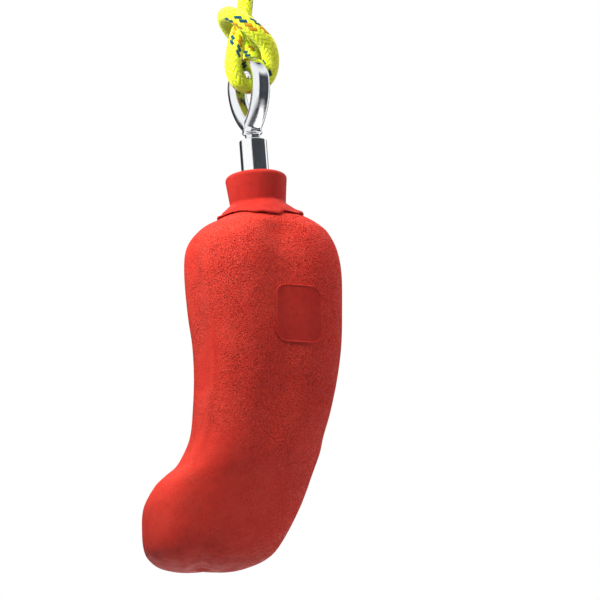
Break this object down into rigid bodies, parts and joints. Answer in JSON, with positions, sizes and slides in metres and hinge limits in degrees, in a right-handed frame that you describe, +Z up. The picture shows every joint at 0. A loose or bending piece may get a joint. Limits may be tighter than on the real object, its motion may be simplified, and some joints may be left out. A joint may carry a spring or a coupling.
{
  "type": "hanging climbing training hold",
  "caption": "Curved, chilli-shaped cast grip-training hold on a swivel eye, hung from a hitched cord.",
  "frame": {"origin": "axis of the bar or carabiner that the cord's top loop goes round, at the middle of the loop", "axes": "+Z up with the part hanging at rest; +Y along the carrying bar; +X the side that the hold's heel bulges to, so its foot points along -X and its front, with the bare label place, looks along -Y"},
  "size_m": [0.0983, 0.0686, 0.4155],
  "materials": {
    "cord": "braided polyester sheath, fluorescent yellow-green with blue and orange flecks",
    "polished": "polished chrome plate",
    "inner_steel": "zinc-plated steel",
    "cast": "sand-textured red polyurethane",
    "collar": "smooth red polyurethane"
  },
  "bodies": {
    "cord": {"cord": "cord"},
    "eye": {"swivel_eye": "polished", "thrust_washer": "inner_steel", "stem_nut": "inner_steel"},
    "hold": {"swivel_barrel": "polished", "anchor_stud": "inner_steel", "jam_nut": "inner_steel", "anchor_nut_high": "inner_steel", "anchor_plate": "inner_steel", "anchor_nut_low": "inner_steel", "neck_collar": "collar", "hold_body": "cast"}
  },
  "joints": [
    {"name": "eye_swing", "type": "hinge", "parent": "cord", "child": "eye", "pos_m": [0, 0, -0.1457], "axis": [0.7856, 0.6157, 0.0618], "range_deg": [-30, 30]},
    {"name": "hold_swivel", "type": "hinge", "parent": "eye", "child": "hold", "pos_m": [0, 0, -0.1457], "axis": [-0.0785, 0, 0.9969], "continuous": true}
  ]
}
